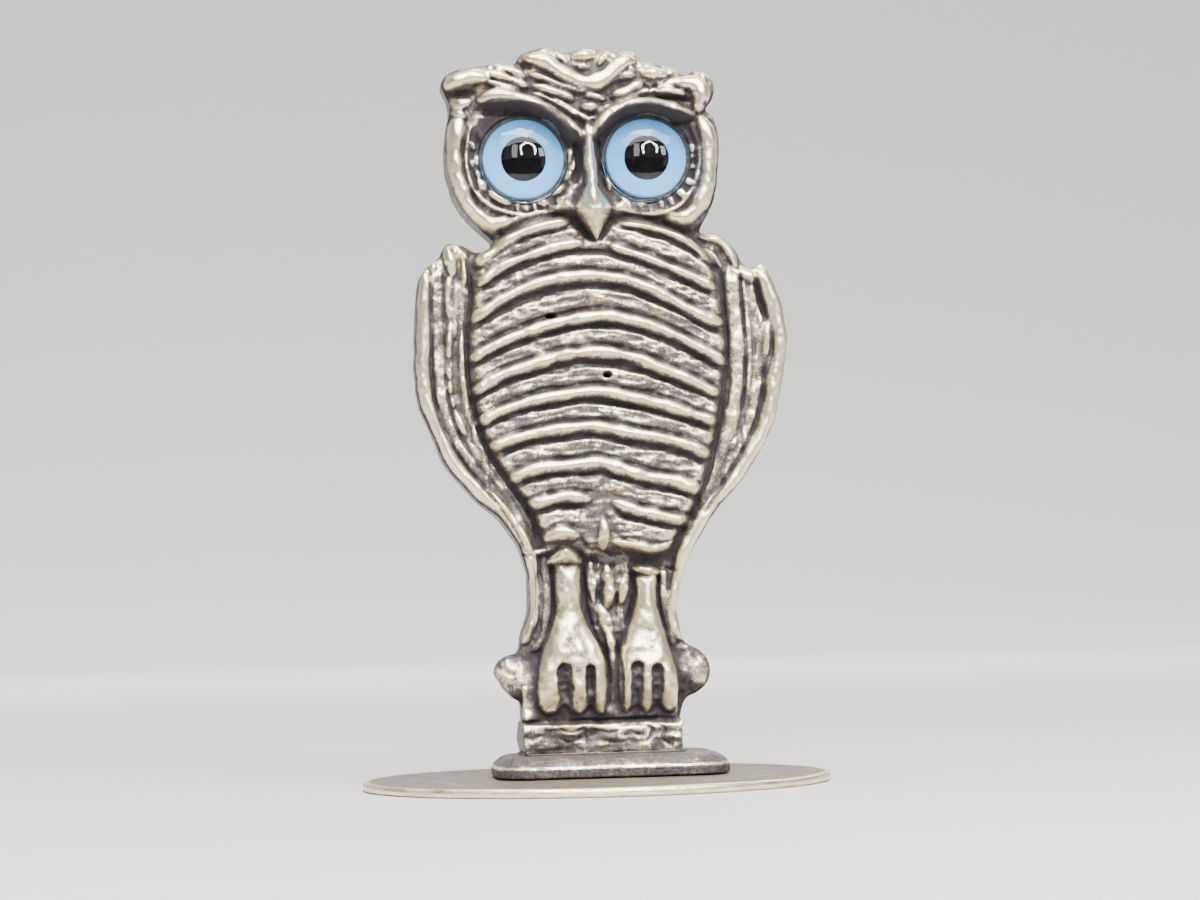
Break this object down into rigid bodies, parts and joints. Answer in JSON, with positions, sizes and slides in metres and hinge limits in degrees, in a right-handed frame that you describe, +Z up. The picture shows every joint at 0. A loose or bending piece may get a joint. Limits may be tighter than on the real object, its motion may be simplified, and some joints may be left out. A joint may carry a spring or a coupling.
{
  "type": "owl figurine",
  "caption": "Cast metal owl with domed pale blue glass eyes, perched on a block, an oblong foot and a thin round base.",
  "frame": {"origin": "centre of the round base's underside", "axes": "+Z up; the owl faces -Y, and its left and right as seen from the front are -X and +X"},
  "size_m": [0.0424, 0.0424, 0.0669],
  "materials": {
    "antique_pewter": "cast pewter with polished high spots and a dark patina in every recess",
    "foot_pewter": "smooth worn pewter, scratched lengthwise",
    "base_pewter": "thin sheet pewter, dull with fine scratches and a bright worn edge",
    "solder": "dull dark solder",
    "clear_glass": "polished clear glass",
    "blue_paint": "opaque pale blue paint behind the glass",
    "black_enamel": "gloss black enamel",
    "cement": "dark hard cement"
  },
  "bodies": {
    "root": {"owl_casting": "antique_pewter", "oblong_foot": "foot_pewter", "round_base": "base_pewter", "foot_solder": "solder", "base_solder": "solder", "left_eye_glass": "clear_glass", "left_eye_iris": "blue_paint", "left_eye_pupil": "black_enamel", "left_eye_cement": "cement", "right_eye_glass": "clear_glass", "right_eye_iris": "blue_paint", "right_eye_pupil": "black_enamel", "right_eye_cement": "cement"}
  },
  "joints": []
}
